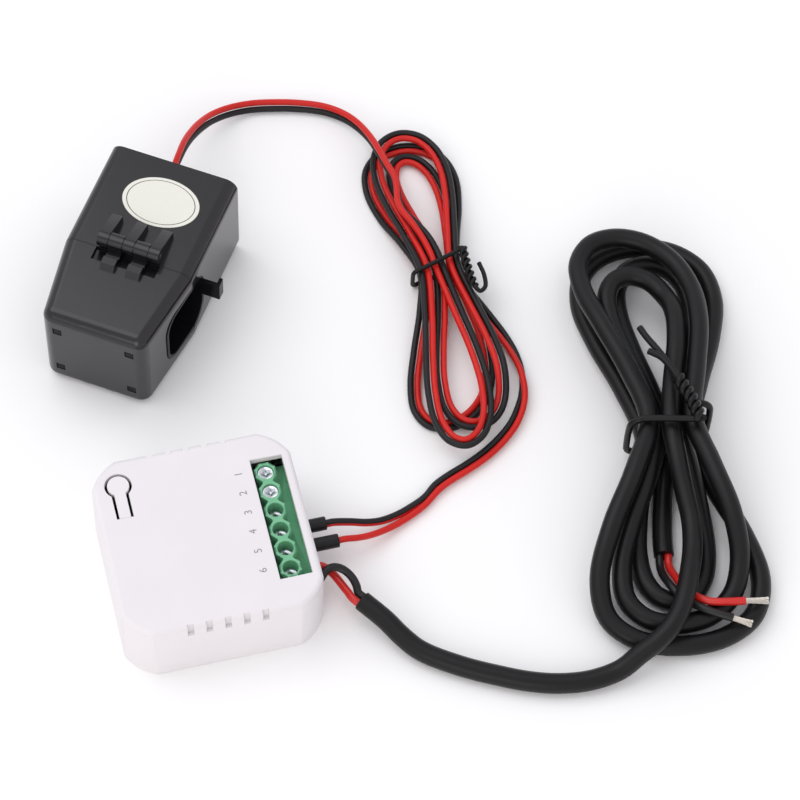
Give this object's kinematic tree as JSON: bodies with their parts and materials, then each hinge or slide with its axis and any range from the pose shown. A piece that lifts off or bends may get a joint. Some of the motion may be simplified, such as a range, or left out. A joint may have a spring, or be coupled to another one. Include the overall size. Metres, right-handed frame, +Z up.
{
  "type": "smart energy monitor",
  "caption": "Square wired metering module with a screw-terminal row, a hinged split-core current clamp and two coiled leads.",
  "frame": {"origin": "middle of the module's underside, on the floor both housings stand on", "axes": "+X along the module's front edge towards its terminals, +Y to the back, +Z up"},
  "size_m": [0.1612, 0.1775, 0.0306],
  "materials": {
    "case_plastic": "fine matt texture",
    "board_laminate": "solder mask",
    "switch_plastic": "moulded",
    "terminal_polyamide": "moulded",
    "plated_steel": "zinc plated",
    "radio_laminate": "solder mask",
    "shield_steel": "tin plated sheet",
    "chip_epoxy": "moulded epoxy",
    "capacitor_sleeve": "shrink sleeve",
    "transformer_tape": "polyester tape",
    "varistor_epoxy": "dipped epoxy",
    "resistor_ceramic": "cement coat",
    "clamp_abs": "polished moulding",
    "ferrite": "ground faces",
    "bobbin_nylon": "moulded",
    "enamelled_copper": "enamelled wire",
    "label_paper": "coated paper",
    "strand_red": "soft vinyl",
    "strand_black": "soft vinyl",
    "core_red_pvc": "soft vinyl",
    "core_black_pvc": "soft vinyl",
    "jacket_pvc": "soft vinyl",
    "shrink_sleeve": "heat-shrink sleeve",
    "tie_wire": "vinyl-coated wire",
    "tinned_copper": "tinned strands"
  },
  "bodies": {
    "base": {"module_base": "case_plastic", "module_cover": "case_plastic", "circuit_board": "board_laminate", "tact_switch": "switch_plastic", "terminal_block": "terminal_polyamide", "terminal_frames": "plated_steel", "radio_board": "radio_laminate", "radio_shield": "shield_steel", "metering_chip": "chip_epoxy", "supply_capacitor": "capacitor_sleeve", "supply_transformer": "transformer_tape", "varistor": "varistor_epoxy", "fuse_resistor": "resistor_ceramic", "clamp_body": "clamp_abs", "body_liner": "clamp_abs", "body_core": "ferrite", "bobbin": "bobbin_nylon", "winding": "enamelled_copper", "hinge_pin": "plated_steel", "label": "label_paper", "ct_lead_red": "strand_red", "ct_lead_black": "strand_black", "ct_hank_red": "strand_red", "ct_hank_black": "strand_black", "ct_tail_red": "strand_red", "ct_tail_black": "strand_black", "ct_sleeves": "shrink_sleeve", "ct_tie": "tie_wire", "core_red": "core_red_pvc", "core_black": "core_black_pvc", "mains_lead": "jacket_pvc", "mains_hank": "jacket_pvc", "end_red": "core_red_pvc", "end_black": "core_black_pvc", "wire_tips": "tinned_copper", "mains_tie": "tie_wire"},
    "jaw": {"clamp_jaw": "clamp_abs", "jaw_liner": "clamp_abs", "jaw_core": "ferrite"},
    "button": {"button_tongue": "case_plastic"},
    "plunger": {"switch_plunger": "switch_plastic"},
    "plate_1": {"terminal_plate_1": "plated_steel"},
    "screw_1": {"terminal_screw_1": "plated_steel"},
    "plate_2": {"terminal_plate_2": "plated_steel"},
    "screw_2": {"terminal_screw_2": "plated_steel"},
    "plate_3": {"terminal_plate_3": "plated_steel"},
    "screw_3": {"terminal_screw_3": "plated_steel"},
    "plate_4": {"terminal_plate_4": "plated_steel"},
    "screw_4": {"terminal_screw_4": "plated_steel"},
    "plate_5": {"terminal_plate_5": "plated_steel"},
    "screw_5": {"terminal_screw_5": "plated_steel"},
    "plate_6": {"terminal_plate_6": "plated_steel"},
    "screw_6": {"terminal_screw_6": "plated_steel"}
  },
  "joints": [
    {"name": "jaw_hinge", "type": "hinge", "parent": "base", "child": "jaw", "pos_m": [-0.00217, 0.07308, 0.0286], "axis": [-0.829, 0.5592, 0], "range_deg": [0, 110]},
    {"name": "button_press", "type": "hinge", "parent": "base", "child": "button", "pos_m": [-0.01695, 0.00764, 0.0181], "axis": [-1, 0, 0], "range_deg": [0, 2.5], "stiffness_Nm_per_rad": 0.02},
    {"name": "plunger_slide", "type": "slide", "parent": "base", "child": "plunger", "axis": [0, 0, -1], "range_m": [0, 0.000375]},
    {"name": "plate_1_slide", "type": "slide", "parent": "base", "child": "plate_1", "axis": [0, 0, 1], "range_m": [-0.003, 0]},
    {"name": "screw_1_turn", "type": "hinge", "parent": "plate_1", "child": "screw_1", "pos_m": [0.0164, 0.013, 0.0138], "axis": [0, 0, 1], "range_deg": [-2160, 0]},
    {"name": "plate_2_slide", "type": "slide", "parent": "base", "child": "plate_2", "axis": [0, 0, 1], "range_m": [-0.003, 0]},
    {"name": "screw_2_turn", "type": "hinge", "parent": "plate_2", "child": "screw_2", "pos_m": [0.0164, 0.00792, 0.0138], "axis": [0, 0, 1], "range_deg": [-2160, 0]},
    {"name": "plate_3_slide", "type": "slide", "parent": "base", "child": "plate_3", "axis": [0, 0, 1], "range_m": [0, 0.003]},
    {"name": "screw_3_turn", "type": "hinge", "parent": "plate_3", "child": "screw_3", "pos_m": [0.0164, 0.00284, 0.0138], "axis": [0, 0, 1], "range_deg": [0, 2160]},
    {"name": "plate_4_slide", "type": "slide", "parent": "base", "child": "plate_4", "axis": [0, 0, 1], "range_m": [0, 0.003]},
    {"name": "screw_4_turn", "type": "hinge", "parent": "plate_4", "child": "screw_4", "pos_m": [0.0164, -0.00224, 0.0138], "axis": [0, 0, 1], "range_deg": [0, 2160]},
    {"name": "plate_5_slide", "type": "slide", "parent": "base", "child": "plate_5", "axis": [0, 0, 1], "range_m": [0, 0.003]},
    {"name": "screw_5_turn", "type": "hinge", "parent": "plate_5", "child": "screw_5", "pos_m": [0.0164, -0.00732, 0.0138], "axis": [0, 0, 1], "range_deg": [0, 2160]},
    {"name": "plate_6_slide", "type": "slide", "parent": "base", "child": "plate_6", "axis": [0, 0, 1], "range_m": [0, 0.003]},
    {"name": "screw_6_turn", "type": "hinge", "parent": "plate_6", "child": "screw_6", "pos_m": [0.0164, -0.0124, 0.0138], "axis": [0, 0, 1], "range_deg": [0, 2160]}
  ],
  "couplings": [
    {"joint": "button_press", "follows": "plunger_slide", "rad_per_m": 116.28},
    {"joint": "screw_1_turn", "follows": "plate_1_slide", "rad_per_m": 12566},
    {"joint": "screw_2_turn", "follows": "plate_2_slide", "rad_per_m": 12566},
    {"joint": "screw_3_turn", "follows": "plate_3_slide", "rad_per_m": 12566},
    {"joint": "screw_4_turn", "follows": "plate_4_slide", "rad_per_m": 12566},
    {"joint": "screw_5_turn", "follows": "plate_5_slide", "rad_per_m": 12566},
    {"joint": "screw_6_turn", "follows": "plate_6_slide", "rad_per_m": 12566}
  ]
}
